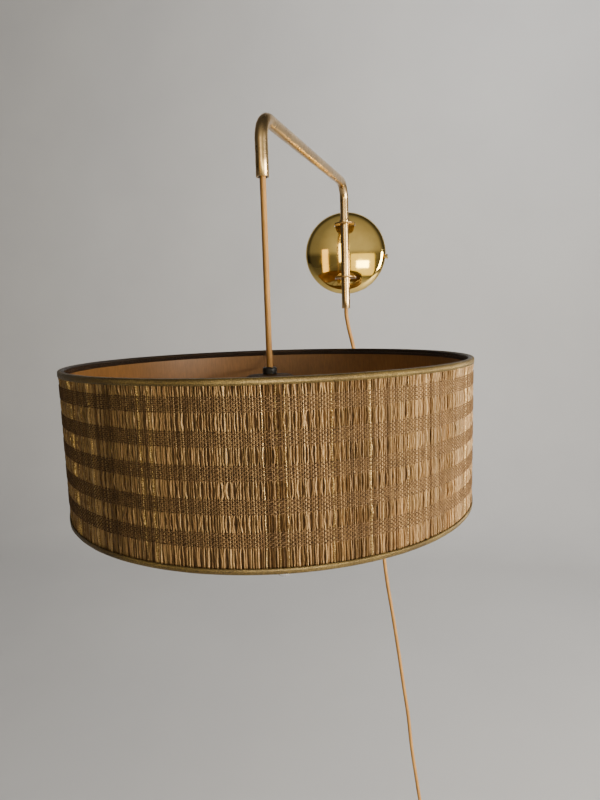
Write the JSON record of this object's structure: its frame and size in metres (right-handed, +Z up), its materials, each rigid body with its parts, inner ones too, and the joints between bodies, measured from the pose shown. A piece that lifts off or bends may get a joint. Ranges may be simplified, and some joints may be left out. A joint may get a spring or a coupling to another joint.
{
  "type": "swing arm wall sconce",
  "caption": "Swing arm wall sconce: bent brass tube arm turning in a round wall canopy, with a woven drum shade hung on a cloth cord and a plug-in lead.",
  "frame": {"origin": "centre of the bracket's flat back, on the wall, behind the centre of the round canopy", "axes": "+Z up, +X to the right along the wall, +Y into the wall; the arm reaches into the room towards -Y and is swung 11.5 degrees to the left at rest"},
  "size_m": [0.4012, 0.5624, 1.2345],
  "materials": {
    "polished_brass": "polished, mirror-like, lightly aged at the rim",
    "aged_brass": "polished brass gone bronze-pink with age",
    "bracket_brass": "brass-plated steel strip, dull behind the canopy",
    "socket_brass": "thin pressed brass, satin",
    "dark_steel": "blackened",
    "bulb_metal": "rolled screw base",
    "nylon": "matte",
    "black_plastic": "matte moulded",
    "phenolic": "moulded phenolic",
    "fibre_board": "insulating card",
    "bronze_paint": "dark bronze, satin",
    "shade_wire": "lacquered steel wire",
    "lining_card": "smooth tan laminated card",
    "woven_straw": "natural straw woven in bands with brown thread",
    "ribbon": "olive-gold grosgrain ribbon",
    "cord_cloth": "gold cloth-covered round cord",
    "tie_strap": "woven tie strap",
    "plug_brown": "moulded brown plastic",
    "clear_acrylic": "smoky clear acrylic ball",
    "frosted_glass": "inside-frosted glass"
  },
  "bodies": {
    "mount": {"wall_bracket": "bracket_brass", "canopy": "polished_brass", "canopy_screw": "polished_brass", "supply_cord": "cord_cloth", "cord_coil": "cord_cloth", "cord_tail": "cord_cloth", "cord_tie": "tie_strap", "plug_body": "plug_brown", "plug_blades": "socket_brass"},
    "arm": {"arm_tube": "aged_brass", "stop_collar": "aged_brass", "collar_screw": "dark_steel", "swing_washer": "nylon", "inlet_bushing": "black_plastic", "outlet_bushing": "black_plastic", "tube_cord": "cord_cloth"},
    "hanging_cord": {"pendant_cord": "cord_cloth"},
    "grip": {"cord_grip": "black_plastic"},
    "lamp": {"nipple": "socket_brass", "top_cap": "bronze_paint", "spider": "shade_wire", "lock_nut": "socket_brass", "socket_cap": "socket_brass", "socket_shell": "socket_brass", "socket_liner": "fibre_board", "socket_core": "phenolic", "screw_shell": "socket_brass", "centre_contact": "socket_brass", "terminal_screws": "socket_brass", "chain_spout": "socket_brass", "bulb_base": "bulb_metal", "bulb_glass": "frosted_glass", "top_ring": "shade_wire", "bottom_ring": "shade_wire", "shade_lining": "lining_card", "shade_weave": "woven_straw", "top_trim": "ribbon", "bottom_trim": "ribbon"},
    "chain": {"pull_chain": "socket_brass", "chain_knob": "clear_acrylic"}
  },
  "joints": [
    {"name": "arm_swing", "type": "hinge", "parent": "mount", "child": "arm", "pos_m": [0, -0.03, 0.04], "axis": [0, 0, 1], "range_deg": [-48, 71]},
    {"name": "cord_sway", "type": "hinge", "parent": "arm", "child": "hanging_cord", "pos_m": [-0.06874, -0.36787, 0.03096], "axis": [0.9799, -0.1994, 0], "range_deg": [-12, 12]},
    {"name": "shade_tilt", "type": "hinge", "parent": "hanging_cord", "child": "grip", "pos_m": [-0.06874, -0.36787, -0.15154], "axis": [0.1994, 0.9799, 0], "range_deg": [-12, 12]},
    {"name": "shade_twist", "type": "hinge", "parent": "grip", "child": "lamp", "pos_m": [-0.06874, -0.36787, -0.16], "axis": [0, 0, 1], "range_deg": [-90, 90], "stiffness_Nm_per_rad": 0.02},
    {"name": "chain_pull", "type": "slide", "parent": "lamp", "child": "chain", "axis": [0, 0, -1], "range_m": [0, 0.008], "stiffness_N_per_m": 250}
  ]
}
